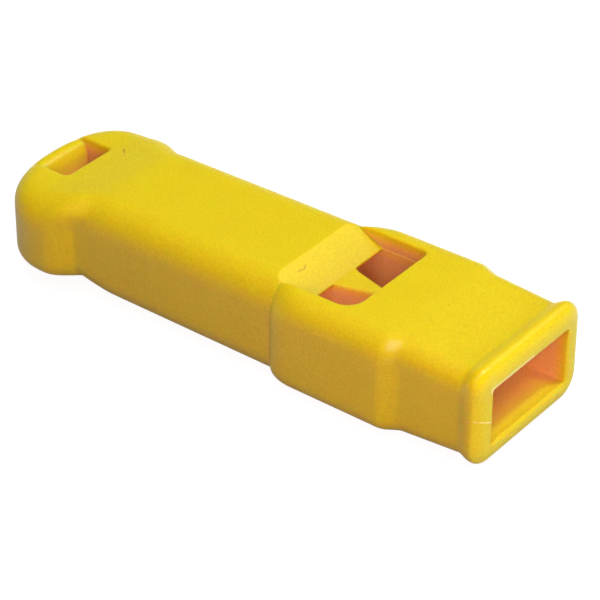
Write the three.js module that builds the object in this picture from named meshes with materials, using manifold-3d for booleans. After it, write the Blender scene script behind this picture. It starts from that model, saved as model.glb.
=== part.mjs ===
// Flat pealess whistle with two sound chambers: a barrel with a lanyard head, a mouthpiece
// pushed over the barrel's spigot, and a windway block trapped between the two.
// Millimetres. X runs from the head to the mouth, Y across, Z up, origin under the middle.

import * as THREE from 'three';
import { mergeVertices } from 'three/addons/utils/BufferGeometryUtils.js';
import Module from 'manifold-3d';

const wasm = await Module();
wasm.setup();

// Whole body
const BODY_HEIGHT = 14.4;
const FIT_GAP = 0.3;

// Head with the lanyard slot
const HEAD_STAND = 2.05;
const HEAD_HEIGHT = 11.8;
const HEAD_NOSE_LENGTH = 9.3;
const HEAD_NOSE_POWER = 2.25;
const HEAD_EDGE_RADIUS = 3.3;
const HEAD_LOW_RADIUS = 2.3;
const NECK_LENGTH = 4.6;
const CROWN_LEAD = 1.5;
const CROWN_LENGTH = 10.7;
const SLOT_BAR = 3.5;
const SLOT_WIDTH = 4.4;
const SLOT_LENGTH = 9.0;
const SLOT_CORNER_RADIUS = 1.2;
const SLOT_RIM_RADIUS = 0.4;
const SLOT_BAR_RADIUS = 2.0;

// Barrel
const BARREL_LENGTH = 47.9;
const BARREL_WIDTH = 21.6;
const BARREL_TAPER = 1.1;
const BARREL_EDGE_RADIUS = 4.2;
const BARREL_LOW_RADIUS = 3.5;
const BARREL_WALL = 2.4;
const BARREL_ROOF = 2.7;
const CHAMBER_FLOOR = 3.3;
const HEAD_WEB = 6.6;
const CHAMBER_STAGGER = 4.5;
const PARTITION = 4.8;
const PARTITION_TIP = 0.9;

// Sounding edge and window
const RAMP_LEAD = 1.4;
const RAMP_LENGTH = 5.2;
const LABIUM_THICKNESS = 0.4;
const WINDOW_LENGTH = 7.4;
const NOTCH_WIDTH = 16.9;
const NOTCH_NEAR_RADIUS = 2.6;
const NOTCH_FAR_RADIUS = 1.0;

// Spigot on the barrel
const SPIGOT_STEP = 0.55;
const SPIGOT_EDGE_RADIUS = 1.4;

// Mouthpiece
const SLEEVE_WALL = 1.74;
const SLEEVE_FLOOR = 1.6;
const SLEEVE_FLARE = 0.43;
const SLEEVE_EDGE_RADIUS = 3.4;
const SLEEVE_LOW_RADIUS = 2.7;
const SLEEVE_REAR_EDGE = 0.3;
const SLEEVE_REAR_DROP = 0.1;
const SLEEVE_ROUNDING = 3.7;
const SHOULDER_LEAD = 0.85;
const SHOULDER_LENGTH = 4.4;
const MOUTH_LENGTH = 11.65;
const MOUTH_EDGE_RADIUS = 2.9;
const MOUTH_SIDE_WALL = 2.7;
const MOUTH_TOP_WALL_REAR = 2.85;
const MOUTH_TOP_WALL_FRONT = 2.05;
const BORE_WIDTH = 17.1;
const BORE_HEIGHT = 8.4;
const BORE_EDGE_RADIUS = 0.4;
const BORE_THROAT_LENGTH = 5.5;
const BORE_RIM_RADIUS = 0.35;
const LIP_RADIUS = 1.4;
const LIP_SIDE_STAND = 0.55;
const LIP_TOP_STAND = 0.9;

// Windway block
const BLOCK_LENGTH = 6.0;
const BLOCK_CREST = 2.1;
const BLOCK_FOOT = 1.2;
const WINDWAY_DEPTH = 0.7;
const WINDWAY_WIDTH = 16.8;

// Facet counts
const CORNER_STEPS = 6;
const NOSE_STEPS = 10;
const EASE_STEPS = 6;
const RIM_STEPS = 3;

// A small overlap that lets one cutting or joining body run past a face
const OVERRUN = 1.0;

// Stations closer together than this count as one
const LEAST_STEP = 0.01;

// Largest share of a side that one rounded corner takes, and the first station on the nose
const MOST_ROUND = 0.49;
const NOSE_TIP = 0.05;

// Stations along X, measured from the rear of the head
const SLOT_FRONT_X = SLOT_BAR + SLOT_WIDTH;
const NECK_X = HEAD_NOSE_LENGTH;
const NECK_END_X = NECK_X + NECK_LENGTH;
const CROWN_X = NECK_X - CROWN_LEAD;
const CROWN_END_X = CROWN_X + CROWN_LENGTH;
const SEAM_X = BARREL_LENGTH;
const RAMP_X = SEAM_X - RAMP_LEAD;
const LABIUM_X = RAMP_X + RAMP_LENGTH;
const NOTCH_X = LABIUM_X + WINDOW_LENGTH;
const BLOCK_X = NOTCH_X + FIT_GAP;
const BLOCK_END_X = BLOCK_X + BLOCK_LENGTH;
const SOCKET_END_X = BLOCK_END_X + FIT_GAP;
const SHOULDER_X = SOCKET_END_X - SHOULDER_LEAD;
const MOUTH_X = SHOULDER_X + SHOULDER_LENGTH;
const FRONT_X = MOUTH_X + MOUTH_LENGTH;
const LIP_X = FRONT_X - LIP_RADIUS;
const LONG_CHAMBER_X = SLOT_FRONT_X + HEAD_WEB;
const SHORT_CHAMBER_X = LONG_CHAMBER_X + CHAMBER_STAGGER;

// Heights, measured from the middle of the body
const TOP_Z = BODY_HEIGHT / 2;
const BOTTOM_Z = -BODY_HEIGHT / 2;
const CHAMBER_ROOF_Z = TOP_Z - BARREL_ROOF;
const CHAMBER_FLOOR_Z = BOTTOM_Z + CHAMBER_FLOOR;
const LABIUM_Z = CHAMBER_ROOF_Z + LABIUM_THICKNESS;
const SPIGOT_BOTTOM_Z = BOTTOM_Z + SLEEVE_FLOOR + FIT_GAP;
const SOCKET_TOP_Z = LABIUM_Z + FIT_GAP;
const SOCKET_BOTTOM_Z = BOTTOM_Z + SLEEVE_FLOOR;
const WINDWAY_FLOOR_Z = LABIUM_Z - WINDWAY_DEPTH;

// Half widths
const HEAD_HALF = BARREL_WIDTH / 2 + HEAD_STAND;
const CHAMBER_HALF = BARREL_WIDTH / 2 - BARREL_WALL;
const SPIGOT_HALF = BARREL_WIDTH / 2 - SPIGOT_STEP;
const SOCKET_HALF = SPIGOT_HALF + FIT_GAP;
const SLEEVE_HALF = SOCKET_HALF + SLEEVE_WALL;
const MOUTH_HALF = BORE_WIDTH / 2 + MOUTH_SIDE_WALL;
const NOTCH_HALF = NOTCH_WIDTH / 2;
const TONGUE_HALF = NOTCH_HALF - FIT_GAP;

function clamp01(value) {
  return Math.min(1, Math.max(0, value));
}

function mix(from, to, share) {
  return from + (to - from) * share;
}

// Smooth S-curve from 0 to 1
function ease(value) {
  const t = clamp01(value);
  return t * t * (3 - 2 * t);
}

// How far a rounded edge of the given radius lies below its crest, at a distance in from the edge
function roundDrop(radius, inset) {
  const reach = radius * (1 - clamp01(inset / radius));
  return radius - Math.sqrt(radius * radius - reach * reach);
}

function stepsBetween(from, to, count) {
  return Array.from({ length: count + 1 }, (_, i) => mix(from, to, i / count));
}

// Stations from rear to front, each once
function inOrder(stations) {
  const sorted = [...stations].sort((a, b) => a - b);
  return sorted.filter((x, i) => i === 0 || x - sorted[i - 1] > LEAST_STEP);
}

// Closed solid from a geometry whose coincident corners are merged
function solidOf(geometry) {
  geometry.deleteAttribute('normal');
  geometry.deleteAttribute('uv');
  const merged = mergeVertices(geometry);
  return new wasm.Manifold(new wasm.Mesh({
    numProp: 3,
    vertProperties: Float32Array.from(merged.attributes.position.array),
    triVerts: Uint32Array.from(merged.index.array),
  }));
}

function geometryOf(solid) {
  const { vertProperties, triVerts } = solid.getMesh();
  const geometry = new THREE.BufferGeometry();
  geometry.setAttribute('position', new THREE.BufferAttribute(vertProperties, 3));
  geometry.setIndex(new THREE.BufferAttribute(triVerts, 1));
  geometry.computeVertexNormals();
  return geometry;
}

// Skin through rings of equal point count, closed by a fan at each end
function loft(rings) {
  const count = rings[0].length;
  const points = rings.flat();
  const index = [];
  for (let k = 0; k + 1 < rings.length; k += 1) {
    for (let i = 0; i < count; i += 1) {
      const a = k * count + i;
      const b = k * count + (i + 1) % count;
      index.push(a, b, b + count, a, b + count, a + count);
    }
  }
  const middle = (ring) => ring.reduce((sum, p) => sum.add(p), new THREE.Vector3()).divideScalar(count);
  const first = points.push(middle(rings[0])) - 1;
  const last = points.push(middle(rings[rings.length - 1])) - 1;
  const end = (rings.length - 1) * count;
  for (let i = 0; i < count; i += 1) {
    const next = (i + 1) % count;
    index.push(first, next, i, last, end + i, end + next);
  }
  const geometry = new THREE.BufferGeometry().setFromPoints(points);
  geometry.setIndex(index);
  return solidOf(geometry);
}

// Rounded rectangle as pairs of places, its corners from the upper right round to the lower right
function roundedRectangle({ left, right, low, high, radius, lowRadius = radius }) {
  const most = MOST_ROUND * Math.min(right - left, high - low);
  const upper = Math.min(radius, most);
  const lower = Math.min(lowRadius, most);
  const corners = [
    [right - upper, high - upper, upper],
    [left + upper, high - upper, upper],
    [left + lower, low + lower, lower],
    [right - lower, low + lower, lower],
  ];
  return corners.flatMap(([u, v, round], quarter) => stepsBetween(quarter, quarter + 1, CORNER_STEPS)
    .map((turn) => turn * Math.PI / 2)
    .map((angle) => [u + round * Math.cos(angle), v + round * Math.sin(angle)]));
}

// Rounded rectangle across the whistle at station x
function sectionRing({ x, half, ...section }) {
  const outline = roundedRectangle({ left: -half, right: half, ...section });
  return outline.map(([y, z]) => new THREE.Vector3(x, y, z));
}

// Prism of an outline in X and Z, between two places across the whistle
function prismAcross(outline, fromY, toY) {
  const shape = new THREE.Shape(outline.map(([x, z]) => new THREE.Vector2(x, z)));
  const geometry = new THREE.ExtrudeGeometry(shape, { depth: toY - fromY, bevelEnabled: false });
  geometry.rotateX(Math.PI / 2).translate(0, toY, 0);
  return solidOf(geometry);
}

// Prism of a plan shape, between two heights
function prismUp(shape, fromZ, toZ) {
  const geometry = new THREE.ExtrudeGeometry(shape, {
    depth: toZ - fromZ,
    bevelEnabled: false,
    curveSegments: CORNER_STEPS,
  });
  geometry.translate(0, 0, fromZ);
  return solidOf(geometry);
}

function planShape(outline) {
  return new THREE.Shape(outline.map(([x, y]) => new THREE.Vector2(x, y)));
}

// The head is a superellipse in plan at the rear
function headHalfWidth(x) {
  const reach = 1 - clamp01(x / HEAD_NOSE_LENGTH);
  return HEAD_HALF * (1 - reach ** HEAD_NOSE_POWER) ** (1 / HEAD_NOSE_POWER);
}

// Outside of the head and barrel at station x. The head falls away to the barrel in a crease.
function barrelSection(x) {
  const onHead = Math.max(x, NOSE_TIP);
  const taper = BARREL_TAPER * (1 - clamp01((x - NECK_X) / (SEAM_X - NECK_X)));
  const neck = clamp01((x - NECK_X) / NECK_LENGTH);
  const crown = ease((x - CROWN_X) / CROWN_LENGTH);
  const height = mix(HEAD_HEIGHT, BODY_HEIGHT, crown) / 2 - roundDrop(HEAD_EDGE_RADIUS, onHead);
  return {
    x,
    half: mix(headHalfWidth(onHead), (BARREL_WIDTH - taper) / 2, neck ** 2),
    low: -height,
    high: height,
    radius: mix(HEAD_EDGE_RADIUS, BARREL_EDGE_RADIUS, neck),
    lowRadius: mix(HEAD_LOW_RADIUS, BARREL_LOW_RADIUS, neck),
  };
}

function barrelSkin(endX) {
  const nose = stepsBetween(0, Math.PI / 2, NOSE_STEPS)
    .map((turn) => HEAD_NOSE_LENGTH * (1 - Math.cos(turn)));
  const neck = stepsBetween(NECK_X, NECK_END_X, EASE_STEPS);
  const crown = stepsBetween(CROWN_X, CROWN_END_X, EASE_STEPS);
  return loft(inOrder([...nose, ...neck, ...crown, endX]).map(barrelSection).map(sectionRing));
}

// Through slot for a lanyard. Its rims are eased, and the bar behind it is rounded like a rod.
function lanyardSlot() {
  const face = HEAD_HEIGHT / 2;
  const rim = stepsBetween(0, SLOT_RIM_RADIUS, RIM_STEPS);
  const bar = stepsBetween(0, SLOT_BAR_RADIUS, EASE_STEPS);
  const upper = inOrder([...rim, ...bar]).map((inset) => ({ z: face - inset, inset })).reverse();
  const levels = [...upper, { z: face + OVERRUN, inset: 0 }];
  const lower = levels.map(({ z, inset }) => ({ z: -z, inset })).reverse();
  return loft([...lower, ...levels].map(({ z, inset }) => slotRing(z, inset)));
}

// Plan of the slot at height z, which is the given inset below the face
function slotRing(z, inset) {
  const grow = roundDrop(SLOT_RIM_RADIUS, inset);
  return roundedRectangle({
    left: SLOT_BAR - roundDrop(SLOT_BAR_RADIUS, inset),
    right: SLOT_FRONT_X + grow,
    low: -SLOT_LENGTH / 2 - grow,
    high: SLOT_LENGTH / 2 + grow,
    radius: SLOT_CORNER_RADIUS,
  }).map(([x, y]) => new THREE.Vector3(x, y, z));
}

// Plan of one chamber on the +Y side, from its closed rear to past the spigot's front
function chamberPlan(rearX) {
  const outX = NOTCH_X + OVERRUN;
  return [
    [rearX, PARTITION / 2],
    [LABIUM_X, PARTITION / 2],
    [NOTCH_X, PARTITION_TIP / 2],
    [outX, PARTITION_TIP / 2],
    [outX, CHAMBER_HALF],
    [rearX, CHAMBER_HALF],
  ];
}

// One chamber, roofed as far as the sounding edge and open above in front of it
function chamber(rearX, side) {
  const turned = (outline) => planShape(outline.map(([x, y]) => [x, side * y]));
  const roofed = prismUp(turned(chamberPlan(rearX)), CHAMBER_FLOOR_Z, CHAMBER_ROOF_Z);
  const open = prismUp(turned(chamberPlan(LABIUM_X).slice(1)), CHAMBER_FLOOR_Z, LABIUM_Z + OVERRUN);
  return roofed.add(open);
}

function spigot() {
  const section = { half: SPIGOT_HALF, low: SPIGOT_BOTTOM_Z, high: LABIUM_Z, radius: SPIGOT_EDGE_RADIUS };
  return loft([SEAM_X - OVERRUN, NOTCH_X].map((x) => sectionRing({ x, ...section })));
}

// Height of the ramp at station x
function rampHeight(x) {
  return mix(TOP_Z, LABIUM_Z, (x - RAMP_X) / RAMP_LENGTH);
}

// What the ramp takes off the barrel's top behind the seam
function rampCut() {
  const profile = [
    [RAMP_X, TOP_Z],
    [SEAM_X, rampHeight(SEAM_X)],
    [SEAM_X, TOP_Z + OVERRUN],
    [RAMP_X, TOP_Z + OVERRUN],
  ];
  return prismAcross(profile, -NOTCH_HALF, NOTCH_HALF);
}

// Tongue that carries the ramp down to the sounding edge, between the notch's walls
function rampTongue() {
  const rearX = SEAM_X - OVERRUN;
  const profile = [
    [rearX, CHAMBER_FLOOR_Z],
    [LABIUM_X, CHAMBER_FLOOR_Z],
    [LABIUM_X, LABIUM_Z],
    [rearX, rampHeight(rearX)],
  ];
  return barrelSkin(LABIUM_X + OVERRUN).intersect(prismAcross(profile, -TONGUE_HALF, TONGUE_HALF));
}

function barrel() {
  return barrelSkin(SEAM_X - FIT_GAP)
    .subtract(rampCut())
    .add(spigot())
    .add(rampTongue())
    .subtract(chamber(LONG_CHAMBER_X, 1))
    .subtract(chamber(SHORT_CHAMBER_X, -1))
    .subtract(lanyardSlot());
}

// How far the lip's round roll stands out at station x. It turns inwards at the front.
function lipRise(x, stand) {
  const reach = Math.min(LIP_RADIUS, Math.abs(x - LIP_X));
  const rise = stand - LIP_RADIUS + Math.sqrt(LIP_RADIUS ** 2 - reach ** 2);
  return x < LIP_X ? Math.max(0, rise) : rise;
}

// Outside of the mouthpiece at station x
function mouthpieceSection(x) {
  const rounding = roundDrop(1, (x - SEAM_X) / SLEEVE_ROUNDING);
  const flare = SLEEVE_FLARE / 2 * clamp01((x - SEAM_X) / (SHOULDER_X - SEAM_X));
  const sleeveHalf = SLEEVE_HALF + flare - rounding * (SLEEVE_WALL - SLEEVE_REAR_EDGE);
  const shoulder = ease((x - SHOULDER_X) / SHOULDER_LENGTH);
  const along = clamp01((x - MOUTH_X) / (LIP_X - MOUTH_X));
  const mouthHigh = BORE_HEIGHT / 2 + mix(MOUTH_TOP_WALL_REAR, MOUTH_TOP_WALL_FRONT, along);
  const sleeveHigh = TOP_Z - rounding * SLEEVE_REAR_DROP;
  const height = mix(sleeveHigh, mouthHigh, shoulder) + lipRise(x, LIP_TOP_STAND);
  const inwards = roundDrop(LIP_RADIUS, FRONT_X - x);
  const edge = (onSleeve, atSeam) => {
    const sleeveEdge = mix(onSleeve, atSeam, rounding);
    return mix(sleeveEdge, MOUTH_EDGE_RADIUS, shoulder) - inwards;
  };
  return {
    x,
    half: mix(sleeveHalf, MOUTH_HALF, shoulder) + lipRise(x, LIP_SIDE_STAND),
    low: -height,
    high: height,
    radius: edge(SLEEVE_EDGE_RADIUS, BARREL_EDGE_RADIUS),
    lowRadius: edge(SLEEVE_LOW_RADIUS, BARREL_LOW_RADIUS),
  };
}

function mouthpieceSkin() {
  const rear = stepsBetween(0, Math.PI / 2, EASE_STEPS)
    .map((turn) => SEAM_X + SLEEVE_ROUNDING * (1 - Math.cos(turn)));
  const shoulder = stepsBetween(SHOULDER_X, MOUTH_X, EASE_STEPS);
  const lip = stepsBetween(-Math.PI / 2, Math.PI / 2, 2 * EASE_STEPS)
    .map((turn) => LIP_X + LIP_RADIUS * Math.sin(turn));
  return loft(inOrder([...rear, ...shoulder, ...lip]).map(mouthpieceSection).map(sectionRing));
}

// Socket that takes the spigot and, at its front end, the windway block
function socket() {
  const section = {
    half: SOCKET_HALF,
    low: SOCKET_BOTTOM_Z,
    high: SOCKET_TOP_Z,
    radius: SPIGOT_EDGE_RADIUS + FIT_GAP,
  };
  return loft([SEAM_X - OVERRUN, SOCKET_END_X].map((x) => sectionRing({ x, ...section })));
}

// Bore from the socket to the mouth, with its roof rising to the windway and its rim rounded
function mouthBore() {
  const ring = (x, high, grow) => sectionRing({
    x,
    half: BORE_WIDTH / 2 + grow,
    low: -BORE_HEIGHT / 2 - grow,
    high: high + grow,
    radius: BORE_EDGE_RADIUS + grow,
  });
  const rim = stepsBetween(BORE_RIM_RADIUS, 0, RIM_STEPS)
    .map((inset) => ring(FRONT_X - inset, BORE_HEIGHT / 2, roundDrop(BORE_RIM_RADIUS, inset)));
  return loft([
    ring(SOCKET_END_X - OVERRUN, SOCKET_TOP_Z, 0),
    ring(SOCKET_END_X, SOCKET_TOP_Z, 0),
    ring(SOCKET_END_X + BORE_THROAT_LENGTH, BORE_HEIGHT / 2, 0),
    ...rim,
    ring(FRONT_X + OVERRUN, BORE_HEIGHT / 2, BORE_RIM_RADIUS),
  ]);
}

// Notch in the sleeve's roof over the ramp and windows, its front corners rounded unequally
function notch() {
  const near = NOTCH_NEAR_RADIUS;
  const far = NOTCH_FAR_RADIUS;
  const shape = new THREE.Shape();
  shape.moveTo(SEAM_X - OVERRUN, -NOTCH_HALF);
  shape.lineTo(NOTCH_X - near, -NOTCH_HALF);
  shape.absarc(NOTCH_X - near, near - NOTCH_HALF, near, -Math.PI / 2, 0);
  shape.lineTo(NOTCH_X, NOTCH_HALF - far);
  shape.absarc(NOTCH_X - far, NOTCH_HALF - far, far, 0, Math.PI / 2);
  shape.lineTo(SEAM_X - OVERRUN, NOTCH_HALF);
  return prismUp(shape, 0, TOP_Z + OVERRUN);
}

function mouthpiece() {
  return mouthpieceSkin()
    .subtract(socket())
    .subtract(mouthBore())
    .subtract(notch());
}

// Block with a ramp towards the mouth and a shallow groove that the sleeve's roof closes to a slot
function windwayBlock() {
  const profile = [
    [BLOCK_X, SPIGOT_BOTTOM_Z],
    [BLOCK_END_X, SPIGOT_BOTTOM_Z],
    [BLOCK_END_X, SPIGOT_BOTTOM_Z + BLOCK_FOOT],
    [BLOCK_X + BLOCK_CREST, LABIUM_Z],
    [BLOCK_X, LABIUM_Z],
  ];
  const groove = [
    [BLOCK_X - OVERRUN, WINDWAY_FLOOR_Z],
    [BLOCK_END_X + OVERRUN, WINDWAY_FLOOR_Z],
    [BLOCK_END_X + OVERRUN, LABIUM_Z + OVERRUN],
    [BLOCK_X - OVERRUN, LABIUM_Z + OVERRUN],
  ];
  const section = { half: SPIGOT_HALF, low: SPIGOT_BOTTOM_Z, high: LABIUM_Z, radius: SPIGOT_EDGE_RADIUS };
  const ends = [BLOCK_X - OVERRUN, BLOCK_END_X + OVERRUN];
  const rounded = loft(ends.map((x) => sectionRing({ x, ...section })));
  return prismAcross(profile, -SPIGOT_HALF, SPIGOT_HALF)
    .intersect(rounded)
    .subtract(prismAcross(groove, -WINDWAY_WIDTH / 2, WINDWAY_WIDTH / 2));
}

// Satin yellow plastic for every moulding
function moulding(name, solid) {
  const material = new THREE.MeshStandardMaterial({ color: 0xe8c814, roughness: 0.42, metalness: 0 });
  const mesh = new THREE.Mesh(geometryOf(solid), material);
  mesh.name = name;
  return mesh;
}

const whistle = new THREE.Group();
whistle.position.set(-FRONT_X / 2, 0, TOP_Z);
whistle.add(moulding('barrel', barrel()));
whistle.add(moulding('mouthpiece', mouthpiece()));
whistle.add(moulding('windway_block', windwayBlock()));

export default whistle;
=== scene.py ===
# Looks of a flat yellow whistle: its three plastic mouldings, a floor, lamps and a camera.
# The mouldings are smooth implicit solids, functions that are negative inside and grow outwards.
# They are worked out in millimetres, with X from the rear of the head and Z from mid-height,
# meshed on a fitted grid, and set in the frame in metres.

import math

import bpy
import numpy as np
from mathutils import Matrix, Vector


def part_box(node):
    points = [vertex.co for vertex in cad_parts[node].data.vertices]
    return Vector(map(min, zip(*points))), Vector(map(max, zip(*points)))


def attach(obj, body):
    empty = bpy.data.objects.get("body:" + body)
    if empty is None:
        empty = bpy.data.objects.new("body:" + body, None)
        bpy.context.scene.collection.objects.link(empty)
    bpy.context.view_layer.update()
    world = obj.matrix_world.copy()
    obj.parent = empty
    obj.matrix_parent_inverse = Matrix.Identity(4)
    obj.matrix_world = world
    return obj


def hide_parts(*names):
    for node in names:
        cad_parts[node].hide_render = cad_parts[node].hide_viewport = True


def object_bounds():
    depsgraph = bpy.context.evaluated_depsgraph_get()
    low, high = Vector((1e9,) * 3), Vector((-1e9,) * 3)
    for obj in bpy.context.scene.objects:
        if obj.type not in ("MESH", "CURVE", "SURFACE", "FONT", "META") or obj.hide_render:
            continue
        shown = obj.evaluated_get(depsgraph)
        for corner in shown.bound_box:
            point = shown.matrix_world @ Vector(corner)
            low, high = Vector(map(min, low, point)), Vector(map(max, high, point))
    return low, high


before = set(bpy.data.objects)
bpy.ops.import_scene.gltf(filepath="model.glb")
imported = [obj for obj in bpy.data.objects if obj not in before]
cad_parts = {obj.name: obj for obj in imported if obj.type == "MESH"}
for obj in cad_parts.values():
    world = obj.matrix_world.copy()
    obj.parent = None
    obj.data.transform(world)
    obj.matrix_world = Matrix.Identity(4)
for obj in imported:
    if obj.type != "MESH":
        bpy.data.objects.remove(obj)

MM = 0.001

# Stations, heights and half widths that the frame gives
WHOLE_LOW, WHOLE_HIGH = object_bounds()
_, BARREL_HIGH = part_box("barrel")
MOUTHPIECE_LOW, MOUTHPIECE_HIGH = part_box("mouthpiece")
BLOCK_LOW, BLOCK_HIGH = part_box("windway_block")
ORIGIN = Vector((WHOLE_LOW.x, 0, (WHOLE_LOW.z + WHOLE_HIGH.z) / 2))

FRONT_X = (MOUTHPIECE_HIGH.x - ORIGIN.x) / MM
SEAM_X = (MOUTHPIECE_LOW.x - ORIGIN.x) / MM
NOTCH_X = (BARREL_HIGH.x - ORIGIN.x) / MM
BLOCK_X = (BLOCK_LOW.x - ORIGIN.x) / MM
BLOCK_END_X = (BLOCK_HIGH.x - ORIGIN.x) / MM
TOP_Z = (WHOLE_HIGH.z - ORIGIN.z) / MM
LABIUM_Z = (BLOCK_HIGH.z - ORIGIN.z) / MM
SPIGOT_BOTTOM_Z = (BLOCK_LOW.z - ORIGIN.z) / MM
SPIGOT_HALF = BLOCK_HIGH.y / MM
HEAD_HALF = BARREL_HIGH.y / MM

# Head: its height above and below the middle, its nose seen from above, and its rounded edges
HEAD_HIGH = 6.0
HEAD_LOW = 5.8
NOSE_LENGTH = 9.25
NOSE_POWER = 2.24
HEAD_EDGE_X = 2.0
HEAD_REAR_EDGE = 3.2
HEAD_SIDE_EDGE = 4.7
HEAD_LOW_EDGE = 2.3

# Neck: where the head falls to the barrel, how steeply, and how soft the crease is. Near the top
# it is longer and softer.
NECK_X = 9.8
NECK_LENGTH = 4.0
NECK_POWER = 2.0
NECK_CREASE = 0.3
NECK_TOP_RISE = (2.0, HEAD_HIGH - 0.5)
NECK_TOP_X = 9.0
NECK_TOP_LENGTH = 6.3
NECK_TOP_POWER = 2.5
NECK_TOP_CREASE = 1.6
NECK_REACH = 2.0

# Crown: where the head's top and underside go over to the barrel's
CROWN_X = 7.0
CROWN_LENGTH = 11.0
CROWN_LOW_X = 9.6
CROWN_LOW_LENGTH = 10.4

# Lanyard slot and the round bar behind it
SLOT_REAR_X = 3.6
SLOT_FRONT_X = 7.9
SLOT_HALF = 4.6
SLOT_CORNER = 0.7
SLOT_RIM = 0.4
BAR_ROUND = 2.6

# Barrel, with its ramp and the tongue that carries the sounding edge (labium)
BARREL_HALF = 10.8
BARREL_TAPER = 0.53
BARREL_EDGE = 4.2
BARREL_LOW_EDGE = 3.5
SEAM_GAP = 0.004
SEAM_EDGE = 0.02
RAMP_X = 46.5
LABIUM_X = 51.7
RAMP_EDGE = 0.3
TONGUE_HALF = 8.445
TONGUE_EDGE = 0.02
SPIGOT_ROOT = 1.0
SPIGOT_EDGE = 1.4

# Chambers, and the wedge between them with its rounder edge in front of the sounding edge
CHAMBER_ROOF_Z = 4.5
CHAMBER_FLOOR_Z = -3.9
CHAMBER_HALF = 8.3
LONG_CHAMBER_X = 14.5
SHORT_CHAMBER_X = 19.0
WALL_EDGE = 0.06
WEDGE_HALF = 2.4
WEDGE_TIP_HALF = 0.45
WEDGE_EDGE = 0.55
WEDGE_EDGE_ACROSS = (CHAMBER_HALF - 2, WEDGE_HALF + 1)
WEDGE_EDGE_ALONG = (LABIUM_X, LABIUM_X + 1)

# Sleeve of the mouthpiece, which rounds off to the barrel at its rear
SLEEVE_HALF = 12.29
SLEEVE_FLARE = 0.22
SLEEVE_EDGE = 3.4
SLEEVE_LOW_EDGE = 2.7
SLEEVE_ROUNDING = 3.7
SLEEVE_TOP_ROUNDING = 5.5
SLEEVE_TOP_RISE = (2.0, TOP_Z - 1)
SLEEVE_SIDE_DROP = 1.48
SLEEVE_REAR_EDGE = 0.02

# Shoulder, mouth and lip
SHOULDER_X = 65.7
SHOULDER_LENGTH = 3.2
MOUTH_X = SHOULDER_X + SHOULDER_LENGTH
MOUTH_HALF = 11.25
MOUTH_HIGH_REAR = 7.05
MOUTH_HIGH_FRONT = 6.28
MOUTH_EDGE = 2.9
MOUTH_LOW_EDGE = 2.6
LIP_RADIUS = 1.4
LIP_FRONT_RADIUS = 2.3
LIP_X = FRONT_X - LIP_RADIUS
LIP_SIDE_STAND = 0.55
LIP_TOP_STAND = 0.92
LIP_EDGE = 1.5
LIP_LOW_EDGE = 2.2
LIP_FILLET = 0.9

# Socket, mouth bore and notch
FIT_GAP = 0.02
SOCKET_END_X = 65.7
BORE_HALF = 8.55
BORE_HIGH = 4.2
BORE_EDGE = 0.35
BORE_RIM = 0.6
BORE_SHARP_RIM = 0.1
BORE_SHARP_START = 2.0
BORE_SHARP_END = 0.5
BORE_OVERLAP = 1.0
THROAT_LENGTH = 5.5
NOTCH_HALF = 8.45
NOTCH_NEAR_CORNER = 2.6
NOTCH_FAR_CORNER = 1.0
NOTCH_EDGE = 0.25
NOTCH_FAR_EDGE = 0.4
NOTCH_EDGE_REACH = 2.0

# Windway block
BLOCK_CREST = 2.1
BLOCK_FOOT = 1.2
WINDWAY_FLOOR_Z = 4.2
WINDWAY_HALF = 8.4
BLOCK_EDGE = 0.15

# Painted inner shade: the depths over which an opening takes it on, and its strength where it isn't
# full
CHAMBER_SHADE = (-0.1, 1.6)
NOTCH_SHADE = (NOTCH_EDGE, 2.4)
SLOT_SHADE = (SLOT_RIM, 6.0)
SLOT_END_SHADE = (SLOT_RIM, 2.5)
SLOT_PAINTED_SHADE = 0.6
BORE_SHADE = 6.5
BORE_WALL_SHADE = 2.5
BORE_PAINTED_SHADE = 0.85
SEAM_SHADE = (1.6, 0)
SEAM_PAINTED_SHADE = 0.1
SPIGOT_PAINTED_LIGHT = 0.6

# Where the walls with painted shade are: under the skin, beside the slot's well, and out from the
# middle
CHAMBER_SKIN = (0.4, 1.2)
CHAMBER_SHADE_X = LONG_CHAMBER_X - 1
OPENING_SKIN = (0.05, 0.6)
SLOT_WALL = (0.6, 0.2)
SLOT_END = (SLOT_HALF - 0.5, SLOT_HALF - 0.1)
SEAM_SIDE = (TOP_Z - 1.5, TOP_Z - 4)
SPIGOT_SIDE = CHAMBER_HALF - 0.1
BORE_WALL = (BORE_HALF - 2.5, BORE_HALF - 0.2)

# Painted glow: emission in the openings that stands in for light through the walls
NEAR_GLOW = 0.10
FAR_GLOW = 0.03
SLOT_GLOW = 0.16
SLOT_GLOW_DEPTH = (SLOT_RIM, 3.0)
BORE_GLOW = 0.04
BORE_FRONT_GLOW = 0.17
BORE_FRONT_START = (0, 1.5)
BORE_FRONT_END = (2.0, 6.5)

# Polish: on spots at the upper corners of the lip and shoulder, with the distances at which it
# starts and is full, and on the slot's bar, from the well's edge and across the bar's front
LIP_SPOT = (FRONT_X - 1, MOUTH_HALF - 1, TOP_Z - 1)
LIP_SPOT_REACH = (3.5, 1.5)
LIP_POLISH = 0.55
SHOULDER_SPOT = (SHOULDER_X + 1.6, SLEEVE_HALF - 1.2, TOP_Z - 1)
SHOULDER_SPOT_REACH = (2.6, 1.3)
SHOULDER_SPOT_SQUEEZE = 2
BAR_EDGE = (0.3, 0)
BAR_FRONT = (SLOT_REAR_X + 0.5, SLOT_REAR_X - 0.3)
BAR_POLISH = 0.6

# Limits of the meshing grid, which keep its lines off the flat faces
BARREL_SPAN = (-0.55, NOTCH_X + 0.5)
MOUTHPIECE_SPAN = (SEAM_X - 0.45, FRONT_X + 0.5)
BLOCK_SPAN = (BLOCK_X - 0.45, BLOCK_END_X + 0.5)
WIDTH_SPAN = (-13.45, 13.5)
HEIGHT_SPAN = (-7.85, 7.9)

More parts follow.
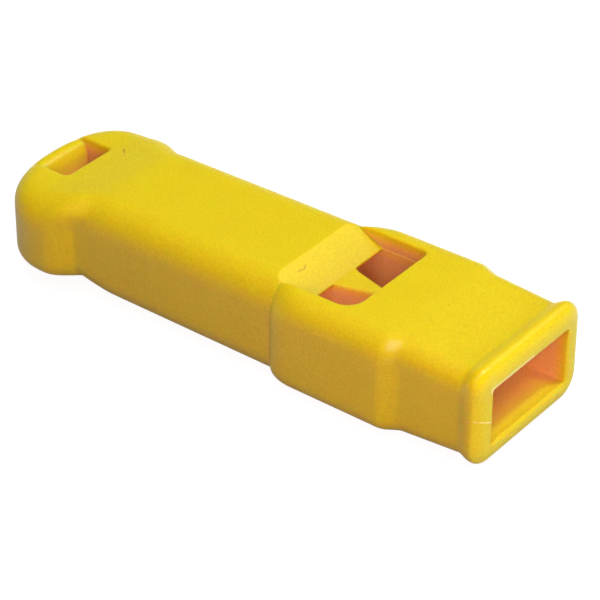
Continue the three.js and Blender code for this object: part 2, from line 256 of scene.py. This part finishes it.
# Spacing of the grid, and (start, end, spacing) spans where it is finer
GRID_PITCH = 0.4
GRID_NUDGE = GRID_PITCH / 100
FINE_X = [
    (1.5, 9.0, 0.25),
    (SEAM_X - 2.5, NOTCH_X + 1.2, 0.2),
    (SEAM_X - 0.2, SEAM_X + 0.2, 0.05),
    (SEAM_X - 0.05, SEAM_X + 0.05, 0.02),
    (FRONT_X - 3.2, FRONT_X + 0.4, 0.15),
]
FINE_Y = [
    (side - reach, side + reach, pitch)
    for side in (-NOTCH_HALF, NOTCH_HALF)
    for reach, pitch in ((0.8, 0.2), (0.25, 0.1), (0.08, 0.02))
]
FINE_Z = [(4.0, 7.6, 0.2), (4.1, 4.3, 0.1), (4.7, 5.1, 0.1)]

# Guards against division by nothing
TINY = 1e-6
LEAST_SLOPE = 1e-3

# Pale marks of the moulding tool, a line around the lip and the burr on the bore's upper edge, and
# dark scratches: start, end and half width
WITNESS_LINE = [
    (78.6, -11.5, 0.40),
    (79.5, -11.8, 0.65),
    (80.2, -11.45, 0.80),
    (80.7, -10.6, 0.40),
    (80.9, -9.4, -0.20),
    (80.9, -8.5, -0.70),
]
BURR_MIDDLE = (FRONT_X, 0.1, BORE_HIGH)
PALE_MARKS = [(start, end, 0.12) for start, end in zip(WITNESS_LINE, WITNESS_LINE[1:])] + [
    ((FRONT_X, -BORE_HALF, BORE_HIGH), BURR_MIDDLE, 0.55),
    (BURR_MIDDLE, (FRONT_X, BORE_HALF, BORE_HIGH), 0.12),
    (BURR_MIDDLE, (FRONT_X, 0.2, BORE_HIGH + 0.35), 0.2),
]
DARK_MARKS = [
    ((80.5, -6.95, 6.4), (80.8, -6.9, 5.6), 0.05),
    ((47.9, -5.0, 6.58), (48.1, -3.9, 6.5), 0.05),
    ((48.1, -3.9, 6.5), (47.8, -3.2, 6.63), 0.05),
    ((9.5, 5.3, 6.16), (10.5, 4.4, 6.26), 0.09),
]

# Colours of the plastic from the outside to deep inside an opening, where they are painted shade,
# and of the marks
SKIN_COLOUR = (0.82, 0.75, 0.004, 1)
INNER_SHADE_COLOUR = (0.97, 0.62, 0.11, 1)
INNER_SHADE_STOP = 0.45
DEEP_SHADE_COLOUR = (0.93, 0.51, 0.21, 1)
MARK_COLOUR = (1.0, 0.92, 0.30, 1)
DIRT_COLOUR = (0.20, 0.13, 0.02, 1)

# Unevenness of the plastic: broad clouds, fine grain and dark specks, with scales per metre
CLOUD_SCALE = 260.0
CLOUD_DETAIL = 4.0
CLOUD_COLOUR = (0.93, 0.92, 0.9, 1)
GRAIN_SCALE = 3200.0
GRAIN_DETAIL = 2.0
GRAIN_CONTRAST = (0.35, 0.65)
GRAIN_COLOUR = (0.90, 0.89, 0.8, 1)
SPECK_SCALE = 640.0
SPECK_CHOICE = 0.78
SPECK_SIZE = (0.03, 0.09)
SPECK_STRENGTH = 0.5

# Surface of the plastic
SATIN_ROUGHNESS = (0.42, 0.54)
POLISHED_ROUGHNESS = 0.22
BUMP_STRENGTH = 0.05
BUMP_HEIGHT = 0.0003
SPECULAR = 0.5
SCATTER_WEIGHT = 0.6
SCATTER_RADIUS = (1.0, 0.35, 0.05)
SCATTER_SCALE = 0.0012

# Studio
FLOOR_HALF = 4.0
FLOOR_GLOW = 0.93
FLOOR_COLOURS = ((0.15, 0.15, 0.15, 1), (0.17, 0.17, 0.17, 1))
FLOOR_SHADE_REACH = 0.03
PAPER_SCALE = 40.0
BACKDROP_RISE = (0.09, 0.15)
BACKDROP_COLOUR = (1, 1, 1, 1)
CEILING_COLOUR = (0.06, 0.05, 0.05, 1)
AMBIENT_COLOUR = (0.12, 0.035, 0.10, 1)

# Camera that looks as the photograph does, its aim and distance in the mouldings' millimetres
CAMERA_TURN = math.radians(37.346)
CAMERA_RISE = math.radians(33.736)
CAMERA_ROLL = math.radians(0.289)
CAMERA_AIM = Vector((44.448, 0, -1.901))
CAMERA_DISTANCE = 367.31
CAMERA_LENS = 166.3
CAMERA_CLIP = (0.01, 20)


def mix(a, b, share):
    return a + (b - a) * share


# Smooth rise from 0 at the start to 1 at the end
def step(value, start, end):
    t = np.clip((value - start) / (end - start), 0, 1)
    return t * t * (3 - 2 * t)


# Meeting of two solids with a rounded edge
def meet(a, b, radius):
    rounded = np.hypot(np.maximum(a + radius, 0), np.maximum(b + radius, 0))
    return np.minimum(np.maximum(a, b), -radius) + rounded


# Union of two solids with a rounded inner corner
def join(a, b, radius):
    return -meet(-a, -b, radius)


# The larger of two values, with a soft change from one to the other
def blend_max(a, b, reach):
    overlap = np.maximum(reach - np.abs(a - b), 0) / reach
    return np.maximum(a, b) + overlap * overlap * reach / 4


def between(value, low, high):
    return np.maximum(low - value, value - high)


# Half width of the head and barrel, the head falling to the barrel in a crease, and how much of
# the neck lies behind
def barrel_half(x, z):
    on_top = step(z, *NECK_TOP_RISE)
    straight = BARREL_HALF - BARREL_TAPER * (1 - np.clip((x - NECK_X) / (SEAM_X - NECK_X), 0, 1))
    start = mix(NECK_X, NECK_TOP_X, on_top)
    length = mix(NECK_LENGTH, NECK_TOP_LENGTH, on_top)
    neck = np.clip((x - start) / length, 0, NECK_REACH)
    fall = (HEAD_HALF - straight) * neck ** mix(NECK_POWER, NECK_TOP_POWER, on_top)
    crease = mix(NECK_CREASE, NECK_TOP_CREASE, on_top)
    return blend_max(HEAD_HALF - fall, straight, crease), step(neck, 0, 1)


# Outside of the head and barrel
def barrel_hull(x, y, z):
    half, on_barrel = barrel_half(x, z)
    u = np.abs(y) / half
    v = np.maximum(NOSE_LENGTH - x, 0) / NOSE_LENGTH
    reach = np.maximum((u ** NOSE_POWER + v ** NOSE_POWER) ** (1 / NOSE_POWER), TINY)
    slope_y = (u / reach) ** (NOSE_POWER - 1) / half
    slope_x = (v / reach) ** (NOSE_POWER - 1) / NOSE_LENGTH
    side = (reach - 1) / np.maximum(np.hypot(slope_y, slope_x), LEAST_SLOPE)
    high = mix(HEAD_HIGH, TOP_Z, step(x, CROWN_X, CROWN_X + CROWN_LENGTH))
    low = mix(HEAD_LOW, TOP_Z, step(x, CROWN_LOW_X, CROWN_LOW_X + CROWN_LOW_LENGTH))
    head_edge = mix(HEAD_REAR_EDGE, HEAD_SIDE_EDGE, step(x, HEAD_EDGE_X, NECK_X))
    upper_edge = mix(head_edge, BARREL_EDGE, on_barrel)
    lower_edge = mix(HEAD_LOW_EDGE, BARREL_LOW_EDGE, on_barrel)
    return meet(side, between(z, -low, high), np.where(z < 0, lower_edge, upper_edge))


# Below the ramp that falls to the sounding edge
def ramp(x, z):
    run, fall = LABIUM_X - RAMP_X, TOP_Z - LABIUM_Z
    return ((x - RAMP_X) * fall + (z - TOP_Z) * run) / math.hypot(run, fall)


# Section of the spigot, grown a little for the socket
def spigot_skin(y, z, grow=0):
    height = between(z, SPIGOT_BOTTOM_Z - grow, LABIUM_Z + grow)
    return meet(np.abs(y) - SPIGOT_HALF - grow, height, SPIGOT_EDGE)


# Air of both chambers, roofed behind the sounding edge and open above in front of it
def chambers(x, y, z):
    rear = np.where(y > 0, LONG_CHAMBER_X, SHORT_CHAMBER_X)
    along = np.clip((x - LABIUM_X) / (NOTCH_X - LABIUM_X), 0, 1)
    sides = between(np.abs(y), mix(WEDGE_HALF, WEDGE_TIP_HALF, along), CHAMBER_HALF)
    roof = np.minimum(z - CHAMBER_ROOF_Z, LABIUM_X - x)
    return np.maximum.reduce([sides, CHAMBER_FLOOR_Z - z, rear - x, roof])


# Well of the lanyard slot, open to the middle of the bar behind it
def slot_well(x, y):
    length = between(x, SLOT_REAR_X - BAR_ROUND, SLOT_FRONT_X)
    return meet(np.abs(y) - SLOT_HALF, length, SLOT_CORNER)


def barrel(x, y, z):
    hull = barrel_hull(x, y, z)
    across = np.abs(y)
    below = ramp(x, z)
    body = meet(hull, x - SEAM_X + SEAM_GAP, SEAM_EDGE)
    body = meet(body, np.minimum(below, NOTCH_HALF - across), RAMP_EDGE)
    tongue = meet(below, across - TONGUE_HALF, TONGUE_EDGE)
    tongue = np.maximum.reduce([tongue, hull, x - LABIUM_X, CHAMBER_ROOF_Z - z])
    spigot = np.maximum(spigot_skin(y, z), between(x, SEAM_X - SPIGOT_ROOT, NOTCH_X))
    solid = np.minimum(np.minimum(body, tongue), spigot)
    on_wedge = step(across, *WEDGE_EDGE_ACROSS) * step(x, *WEDGE_EDGE_ALONG)
    solid = meet(solid, -chambers(x, y, z), mix(WALL_EDGE, WEDGE_EDGE, on_wedge))
    solid = meet(solid, -slot_well(x, y), SLOT_RIM)
    return np.minimum(solid, meet(hull, x - SLOT_REAR_X, BAR_ROUND))


# Roll of the lip, round at the rear and a flatter oval in front
def lip_roll(x, y, z):
    half = MOUTH_HALF + LIP_SIDE_STAND - LIP_RADIUS
    high = MOUTH_HIGH_FRONT + LIP_TOP_STAND - LIP_RADIUS
    core = meet(np.abs(y) - half, np.abs(z) - high, np.where(z < 0, LIP_LOW_EDGE, LIP_EDGE))
    inner = np.maximum(core + LIP_FRONT_RADIUS - LIP_RADIUS, 0)
    rear = np.hypot(x - LIP_X, np.maximum(core, 0)) - LIP_RADIUS
    front = np.hypot((x - LIP_X) * LIP_FRONT_RADIUS / LIP_RADIUS, inner) - LIP_FRONT_RADIUS
    return np.where(x < LIP_X, rear, front)


# Outside of the mouthpiece: the sleeve swelling out of the barrel, the shoulder, and the lip
def mouthpiece_hull(x, y, z):
    on_top = step(z, *SLEEVE_TOP_RISE)
    rounding = mix(SLEEVE_ROUNDING, SLEEVE_TOP_ROUNDING, on_top)
    rear = 1 - np.clip((x - SEAM_X) / rounding, 0, 1)
    drop = mix(1 - np.sqrt(1 - rear ** 2), rear ** 2, on_top)
    flare = SLEEVE_FLARE * np.clip((x - SEAM_X) / (SHOULDER_X - SEAM_X), 0, 1)
    shoulder = step(x, SHOULDER_X, MOUTH_X)
    along = np.clip((x - MOUTH_X) / (LIP_X - MOUTH_X), 0, 1)
    half = mix(SLEEVE_HALF + flare - drop * SLEEVE_SIDE_DROP, MOUTH_HALF, shoulder)
    high = mix(TOP_Z, mix(MOUTH_HIGH_REAR, MOUTH_HIGH_FRONT, along), shoulder)
    upper_edge = mix(mix(SLEEVE_EDGE, BARREL_EDGE, drop), MOUTH_EDGE, shoulder)
    lower_edge = mix(mix(SLEEVE_LOW_EDGE, BARREL_LOW_EDGE, drop), MOUTH_LOW_EDGE, shoulder)
    body = meet(np.abs(y) - half, np.abs(z) - high, np.where(z < 0, lower_edge, upper_edge))
    return join(np.maximum(body, x - LIP_X), lip_roll(x, y, z), LIP_FILLET)


# Bore of the mouth, its roof rising to the windway at the rear
def mouth_bore(x, y, z):
    throat = 1 - np.clip((x - SOCKET_END_X) / THROAT_LENGTH, 0, 1)
    roof = mix(BORE_HIGH, LABIUM_Z + FIT_GAP, throat)
    section = meet(np.abs(y) - BORE_HALF, between(z, -BORE_HIGH, roof), BORE_EDGE)
    return np.maximum(section, SOCKET_END_X - BORE_OVERLAP - x)


# Rounding of the bore's rim, which is sharp along its top and near side
def bore_rim(y, z):
    near = step(-y, BORE_HALF - BORE_SHARP_START, BORE_HALF - BORE_SHARP_END)
    top = step(z, BORE_HIGH - BORE_SHARP_START, BORE_HIGH - BORE_SHARP_END)
    return mix(BORE_RIM, BORE_SHARP_RIM, np.maximum(near, top))


def notch(x, y, z):
    corner = np.where(y < 0, NOTCH_NEAR_CORNER, NOTCH_FAR_CORNER)
    return np.maximum(meet(np.abs(y) - NOTCH_HALF, x - NOTCH_X, corner), -z)


def mouthpiece(x, y, z):
    solid = meet(mouthpiece_hull(x, y, z), SEAM_X - x, SLEEVE_REAR_EDGE)
    on_far_side = step(y, NOTCH_HALF - NOTCH_EDGE_REACH, NOTCH_HALF)
    on_far_side = on_far_side * step(NOTCH_X - x, 0, NOTCH_EDGE_REACH)
    solid = meet(solid, -notch(x, y, z), mix(NOTCH_EDGE, NOTCH_FAR_EDGE, on_far_side))
    socket = np.maximum(spigot_skin(y, z, FIT_GAP), x - SOCKET_END_X)
    solid = np.maximum(solid, -socket)
    return meet(solid, -mouth_bore(x, y, z), bore_rim(y, z))


def windway_block(x, y, z):
    crest_x = BLOCK_X + BLOCK_CREST
    run, fall = BLOCK_END_X - crest_x, LABIUM_Z - SPIGOT_BOTTOM_Z - BLOCK_FOOT
    slope = ((x - crest_x) * fall + (z - LABIUM_Z) * run) / math.hypot(run, fall)
    solid = meet(spigot_skin(y, z), between(x, BLOCK_X, BLOCK_END_X), BLOCK_EDGE)
    solid = meet(solid, slope, BLOCK_EDGE)
    groove = np.maximum(np.abs(y) - WINDWAY_HALF, WINDWAY_FLOOR_Z - z)
    return meet(solid, -groove, BLOCK_EDGE)


# Painted glow that stands in for light through the wall, more of it on the near side
def wall_glow(y):
    return np.where(y < 0, NEAR_GLOW, FAR_GLOW)


# The painted-light functions give the depth of a point inside the openings, from 0 on the outside
# to 1 far in, which sets its painted shade, and a painted glow that stands in for light through the
# walls
def barrel_painted_light(x, y, z):
    under_skin = step(-barrel_hull(x, y, z), *CHAMBER_SKIN) * (x > CHAMBER_SHADE_X)
    in_chamber = step(LABIUM_Z - z, *CHAMBER_SHADE) * under_skin
    below_head = HEAD_HIGH - np.abs(z)
    by_slot = step(slot_well(x, y), *SLOT_WALL)
    on_end = step(np.abs(y), *SLOT_END)
    on_front = SLOT_PAINTED_SHADE * step(below_head, *SLOT_SHADE)
    in_slot = mix(on_front, step(below_head, *SLOT_END_SHADE), on_end) * by_slot
    # Painted shade: a faint orange band on the barrel just behind the sleeve
    at_seam = SEAM_PAINTED_SHADE * step(SEAM_X - x, *SEAM_SHADE) * step(z, *SEAM_SIDE)
    # Painted light: the strip on the spigot's top takes the orange of the inner shade, to show as a
    # lit edge
    on_spigot = SPIGOT_PAINTED_LIGHT * (x > LABIUM_X) * (np.abs(y) > SPIGOT_SIDE)
    depth = np.maximum.reduce([in_chamber, in_slot, at_seam, on_spigot])
    slot_glow = SLOT_GLOW * step(below_head, *SLOT_GLOW_DEPTH) * by_slot * (1 - on_end)
    return depth, wall_glow(y) * in_chamber + slot_glow


def mouthpiece_painted_light(x, y, z):
    under_skin = step(-mouthpiece_hull(x, y, z), *OPENING_SKIN)
    in_notch = step(TOP_Z - z, *NOTCH_SHADE) * (x < SOCKET_END_X)
    on_wall = step(np.abs(y), *BORE_WALL)
    behind_lip = FRONT_X - x
    shade = mix(BORE_SHADE, BORE_WALL_SHADE, on_wall)
    in_bore = step(behind_lip / shade, 0, 1) * (x >= SOCKET_END_X)
    depth = under_skin * np.maximum(in_notch, BORE_PAINTED_SHADE * in_bore)
    at_front = step(behind_lip, *BORE_FRONT_START) * (1 - step(behind_lip, *BORE_FRONT_END))
    bore_glow = np.maximum(BORE_GLOW * in_bore, BORE_FRONT_GLOW * (at_front * (1 - on_wall)))
    return depth, under_skin * np.maximum(wall_glow(y) * in_notch, bore_glow)


# The windway block lies deep inside and is painted in full shade, with a painted glow
def block_painted_light(x, y, z):
    return np.ones_like(x), wall_glow(y)


# Distance from a spot or from its mirror image across the whistle
def from_spot(x, y, z, spot, squeeze=1):
    return np.hypot(np.hypot(squeeze * (x - spot[0]), np.abs(y) - spot[1]), z - spot[2])


# How glossy a point is: most on the upper corners of the lip and shoulder, and on the slot's bar
def polish(x, y, z):
    lip = step(from_spot(x, y, z, LIP_SPOT), *LIP_SPOT_REACH)
    from_shoulder = from_spot(x, y, z, SHOULDER_SPOT, SHOULDER_SPOT_SQUEEZE)
    bar = step(slot_well(x, y), *BAR_EDGE) * step(x, *BAR_FRONT)
    shoulder = step(from_shoulder, *SHOULDER_SPOT_REACH)
    return np.maximum.reduce([LIP_POLISH * lip, shoulder, BAR_POLISH * bar])


# Grid lines between two limits, closer together inside the given spans
def grid(limits, spans):
    lines = [limits[0]]
    while lines[-1] < limits[1]:
        here = lines[-1] + GRID_NUDGE
        pitch = min([GRID_PITCH, *(fine for start, end, fine in spans if start <= here < end)])
        ahead = [start - lines[-1] for start, _, _ in spans if here < start < here + pitch]
        lines.append(lines[-1] + min([pitch, *ahead]))
    return np.array(lines)


# One vertex in every grid cell that the surface passes, and a quad across every edge that it cuts
def surface_net(field, axes):
    value = field(*np.meshgrid(*axes, indexing="ij"))
    inside = value < 0
    unit = np.eye(3, dtype=int)
    shape = np.array(value.shape) - 1
    corners = [
        inside[i:i + shape[0], j:j + shape[1], k:k + shape[2]]
        for i in (0, 1) for j in (0, 1) for k in (0, 1)
    ]
    count = np.sum(corners, axis=0)
    cells = np.argwhere((count > 0) & (count < len(corners)))
    number = np.full(shape, -1)
    number[tuple(cells.T)] = np.arange(len(cells))
    total = np.zeros((len(cells), 3))
    hits = np.zeros((len(cells), 1))
    quads = []
    for axis in range(3):
        u, w = unit[(axis + 1) % 3], unit[(axis + 2) % 3]
        for du, dw in ((0, 0), (0, 1), (1, 0), (1, 1)):
            a = cells + u * du + w * dw
            b = a + unit[axis]
            value_a, value_b = value[tuple(a.T)], value[tuple(b.T)]
            cut = ((value_a < 0) != (value_b < 0))[:, None]
            share = (value_a / np.where(value_a == value_b, 1, value_a - value_b))[:, None]
            point_a = np.stack([axes[n][a[:, n]] for n in range(3)], 1)
            point_b = np.stack([axes[n][b[:, n]] for n in range(3)], 1)
            total += np.where(cut, mix(point_a, point_b, share), 0)
            hits += cut
        turned = np.moveaxis(inside, axis, 0)
        edges = np.argwhere(np.moveaxis(turned[:-1] != turned[1:], 0, axis))
        ring = [edges + u * du + w * dw for du, dw in ((-1, -1), (0, -1), (0, 0), (-1, 0))]
        quad = np.stack([number[tuple(cell.T)] for cell in ring], 1)
        quads.append(np.where(inside[tuple(edges.T)][:, None], quad, quad[:, ::-1]))
    return total / hits, np.concatenate(quads)


def gradient(field, points, reach=0.01):
    rises = [field(*(points + d).T) - field(*(points - d).T) for d in np.eye(3) * reach]
    return np.stack(rises, 1) / (2 * reach)


# Moves the vertices onto the surface
def settle(field, points, rounds=3, furthest=0.2, least_steepness=0.1):
    for _ in range(rounds):
        slope = gradient(field, points)
        steepness = np.maximum((slope ** 2).sum(1), least_steepness)
        move = -slope * (field(*points.T) / steepness)[:, None]
        length = np.linalg.norm(move, axis=1, keepdims=True)
        points = points + move * np.minimum(1, furthest / np.maximum(length, TINY))
    return points


# A point of the mouldings in the frame
def placed(point):
    return ORIGIN + Vector(point) * MM


def add_moulding(name, field, painted_light, x_lines, material):
    axes = (x_lines, grid(WIDTH_SPAN, FINE_Y), grid(HEIGHT_SPAN, FINE_Z))
    points, quads = surface_net(field, axes)
    points = settle(field, points)
    mesh = bpy.data.meshes.new(name)
    mesh.from_pydata(points * MM + np.array(ORIGIN), [], quads.tolist())
    mesh.shade_smooth()
    depth, glow = painted_light(*points.T)
    for label, values in (("depth", depth), ("glow", glow), ("polish", polish(*points.T))):
        mesh.attributes.new(label, "FLOAT", "POINT").data.foreach_set("value", values)
    mesh.materials.append(material)
    piece = bpy.data.objects.new(name, mesh)
    bpy.context.collection.objects.link(piece)
    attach(piece, "root")
    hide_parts(name)


# Links sockets, and sets plain values, on the inputs of a shader node
def fill(tree, made, inputs):
    for key, value in inputs.items():
        if isinstance(value, bpy.types.NodeSocket):
            tree.links.new(value, made.inputs[key])
        else:
            made.inputs[key].default_value = value


def node(tree, kind, inputs=None, **settings):
    made = tree.nodes.new(kind)
    for key, value in settings.items():
        setattr(made, key, value)
    fill(tree, made, inputs or {})
    return made


# The colour sockets of a Mix node go by number, because its sockets share their names
def mix_colour(tree, factor, a, b, way="MIX"):
    inputs = {0: factor, 6: a, 7: b}
    return node(tree, "ShaderNodeMix", inputs, data_type="RGBA", blend_type=way).outputs[2]


def math_node(tree, operation, *values, clamp=False):
    inputs = dict(enumerate(values))
    return node(tree, "ShaderNodeMath", inputs, operation=operation, use_clamp=clamp).outputs[0]


def vector_node(tree, operation, inputs):
    return node(tree, "ShaderNodeVectorMath", inputs, operation=operation).outputs


def noise_node(tree, place, scale, detail):
    inputs = {"Vector": place, "Scale": scale, "Detail": detail}
    return node(tree, "ShaderNodeTexNoise", inputs).outputs["Fac"]


def ramp_node(tree, value, from_low, from_high, to_low, to_high):
    inputs = {
        "Value": value,
        "From Min": from_low,
        "From Max": from_high,
        "To Min": to_low,
        "To Max": to_high,
    }
    return node(tree, "ShaderNodeMapRange", inputs).outputs[0]


# 1 on a straight mark and 0 beside it
def mark_node(tree, place, start, end, width):
    run = placed(end) - placed(start)
    offset = vector_node(tree, "SUBTRACT", {0: place, 1: placed(start)})["Vector"]
    dot = vector_node(tree, "DOT_PRODUCT", {0: offset, 1: run})["Value"]
    share = math_node(tree, "DIVIDE", dot, run.length_squared, clamp=True)
    closest = vector_node(tree, "SCALE", {0: run, "Scale": share})["Vector"]
    away = vector_node(tree, "DISTANCE", {0: offset, 1: closest})["Value"]
    return ramp_node(tree, away, width * MM / 2, width * MM, 1, 0)


# Satin yellow plastic with painted shade inside the openings, orange and then apricot, and a
# painted glow there, with specks and marks
def yellow_plastic():
    material = bpy.data.materials.new("yellow_plastic")
    material.use_nodes = True
    tree = material.node_tree
    place = node(tree, "ShaderNodeTexCoord").outputs["Object"]
    depth, glow, worn = [
        node(tree, "ShaderNodeAttribute", attribute_name=label).outputs["Fac"]
        for label in ("depth", "glow", "polish")
    ]
    cloud = noise_node(tree, place, CLOUD_SCALE, CLOUD_DETAIL)
    grain = noise_node(tree, place, GRAIN_SCALE, GRAIN_DETAIL)

    # Painted shade: the colour goes orange and then apricot with depth inside the openings
    painted_light = node(tree, "ShaderNodeValToRGB", {"Fac": depth})
    stops = painted_light.color_ramp.elements
    stops[0].color = SKIN_COLOUR
    stops[1].color = DEEP_SHADE_COLOUR
    stops.new(INNER_SHADE_STOP).color = INNER_SHADE_COLOUR
    colour = mix_colour(tree, cloud, painted_light.outputs["Color"], CLOUD_COLOUR, "MULTIPLY")
    strong_grain = ramp_node(tree, grain, *GRAIN_CONTRAST, 0, 1)
    colour = mix_colour(tree, strong_grain, colour, GRAIN_COLOUR, "MULTIPLY")
    for marks, mark_colour in ((PALE_MARKS, MARK_COLOUR), (DARK_MARKS, DIRT_COLOUR)):
        for mark in marks:
            colour = mix_colour(tree, mark_node(tree, place, *mark), colour, mark_colour)
    cells = node(tree, "ShaderNodeTexVoronoi", {"Vector": place, "Scale": SPECK_SCALE}).outputs
    chosen = math_node(tree, "GREATER_THAN", cells["Color"], SPECK_CHOICE)
    spot = ramp_node(tree, cells["Distance"], *SPECK_SIZE, SPECK_STRENGTH, 0)
    colour = mix_colour(tree, math_node(tree, "MULTIPLY", chosen, spot), colour, DIRT_COLOUR)

    satin = ramp_node(tree, grain, 0, 1, *SATIN_ROUGHNESS)
    rough = node(tree, "ShaderNodeMix", {"Factor": worn, "A": satin, "B": POLISHED_ROUGHNESS})
    relief = {"Height": grain, "Strength": BUMP_STRENGTH, "Distance": BUMP_HEIGHT}
    fill(tree, tree.nodes["Principled BSDF"], {
        "Base Color": colour,
        "Roughness": rough.outputs[0],
        "Normal": node(tree, "ShaderNodeBump", relief).outputs["Normal"],
        "Specular IOR Level": SPECULAR,
        "Subsurface Weight": SCATTER_WEIGHT,
        "Subsurface Radius": SCATTER_RADIUS,
        "Subsurface Scale": SCATTER_SCALE,
        # Painted glow: emission in the painted shade's colour
        "Emission Color": painted_light.outputs["Color"],
        "Emission Strength": glow,
    })
    return material


# What sees a surface: 1 for the eye, straight on or through a clear thing, and 1 for a reflection
def seen_by(tree):
    path = node(tree, "ShaderNodeLightPath").outputs
    eye = math_node(tree, "MAXIMUM", path["Is Camera Ray"], path["Is Transmission Ray"])
    return eye, path["Is Glossy Ray"]


# White floor that glows to the eye, keeps the shadow, and has painted shade in reflections close by
# the whistle
def add_floor():
    turns = ((-1, -1), (1, -1), (1, 1), (-1, 1))
    corners = [(FLOOR_HALF * x, FLOOR_HALF * y, 0) for x, y in turns]
    mesh = bpy.data.meshes.new("floor")
    mesh.from_pydata(corners, [], [(0, 1, 2, 3)])
    material = bpy.data.materials.new("white_floor")
    material.use_nodes = True
    tree = material.node_tree
    tree.nodes.clear()
    paper = node(tree, "ShaderNodeTexNoise", {"Scale": PAPER_SCALE}).outputs["Fac"]
    matt = node(tree, "ShaderNodeBsdfDiffuse", {"Color": mix_colour(tree, paper, *FLOOR_COLOURS)})
    eye, mirror = seen_by(tree)
    # Painted shade: reflections of the floor darken close by the whistle
    occlusion = node(tree, "ShaderNodeAmbientOcclusion", {"Distance": FLOOR_SHADE_REACH})
    reflected = math_node(tree, "MULTIPLY", mirror, occlusion.outputs["AO"])
    seen = math_node(tree, "MAXIMUM", math_node(tree, "MULTIPLY", eye, FLOOR_GLOW), reflected)
    glow = node(tree, "ShaderNodeEmission", {"Strength": seen})
    both = node(tree, "ShaderNodeAddShader", {0: matt.outputs[0], 1: glow.outputs[0]})
    node(tree, "ShaderNodeOutputMaterial", {"Surface": both.outputs[0]})
    mesh.materials.append(material)
    floor = bpy.data.objects.new("floor", mesh)
    bpy.context.collection.objects.link(floor)


# Even light all round, with a white backdrop under a dim ceiling for what the eye and reflections
# see
def set_world():
    world = bpy.data.worlds.new("studio")
    world.use_nodes = True
    tree = world.node_tree
    heading = node(tree, "ShaderNodeTexCoord").outputs["Generated"]
    rise = node(tree, "ShaderNodeSeparateXYZ", {"Vector": heading}).outputs["Z"]
    backdrop = node(tree, "ShaderNodeValToRGB", {"Fac": rise})
    stops = backdrop.color_ramp.elements
    stops[0].position, stops[0].color = BACKDROP_RISE[0], BACKDROP_COLOUR
    stops[1].position, stops[1].color = BACKDROP_RISE[1], CEILING_COLOUR
    seen = math_node(tree, "MAXIMUM", *seen_by(tree))
    shown = mix_colour(tree, seen, AMBIENT_COLOUR, backdrop.outputs["Color"])
    fill(tree, tree.nodes["Background"], {"Color": shown})
    bpy.context.scene.world = world


# Soft rectangular lamp that faces the whistle, shown in reflections only where it makes a highlight
def add_lamp(name, place, size, power, colour=(1, 1, 1), highlight=False, roll=0):
    light = bpy.data.lights.new(name, "AREA")
    light.shape = "RECTANGLE"
    light.size, light.size_y = size
    light.energy = power
    light.color = colour
    lamp = bpy.data.objects.new(name, light)
    lamp.location = place
    facing = (-Vector(place)).to_track_quat("-Z", "Y").to_matrix()
    lamp.rotation_euler = (facing @ Matrix.Rotation(roll, 3, "Z")).to_euler()
    lamp.visible_camera = False
    lamp.visible_glossy = highlight
    bpy.context.collection.objects.link(lamp)


def add_camera():
    across, along = math.cos(CAMERA_TURN), math.sin(CAMERA_TURN)
    level = math.cos(CAMERA_RISE)
    back = Vector((along * level, -across * level, math.sin(CAMERA_RISE)))
    right = Vector((across, along, 0))
    turn = Matrix((right, back.cross(right), back)).transposed()
    turn = turn @ Matrix.Rotation(CAMERA_ROLL, 3, "Z")
    place = placed(CAMERA_AIM + back * CAMERA_DISTANCE)
    data = bpy.data.cameras.new("camera")
    data.lens = CAMERA_LENS
    data.clip_start, data.clip_end = CAMERA_CLIP
    camera = bpy.data.objects.new("camera", data)
    camera.matrix_world = Matrix.LocRotScale(place, turn.to_quaternion(), None)
    bpy.context.collection.objects.link(camera)
    bpy.context.scene.camera = camera


plastic = yellow_plastic()
add_moulding("barrel", barrel, barrel_painted_light, grid(BARREL_SPAN, FINE_X), plastic)
add_moulding("mouthpiece", mouthpiece, mouthpiece_painted_light, grid(MOUTHPIECE_SPAN, FINE_X), plastic)
add_moulding("windway_block", windway_block, block_painted_light, grid(BLOCK_SPAN, []), plastic)

add_floor()
set_world()
add_lamp("top", (-0.14, 0, 0.74), size=(0.25, 0.25), power=1.5)
add_lamp("back", (-0.38, 0.45, 0.18), size=(0.30, 0.30), power=0.85, colour=(1.0, 0.72, 0.6))
add_lamp("front", (0.60, 0.08, 0.08), size=(0.45, 0.14), power=1.75)
add_lamp("side", (0.15, -0.19, 0.12), size=(0.10, 0.10), power=0.34, colour=(1.0, 0.48, 0.5))
add_lamp("key", (0.20, 0.38, 0.43), size=(0.24, 0.24), power=0.3, highlight=True)
add_lamp("lip_glint", (0.17, 0.228, 0.616), size=(0.06, 0.06), power=1.35, highlight=True)
add_lamp(
    "shoulder_glint", (0.094, -0.346, 0.583), size=(0.03, 0.85), power=0.95, highlight=True,
    roll=math.radians(13),
)
add_camera()
bpy.context.scene.view_settings.view_transform = "Standard"
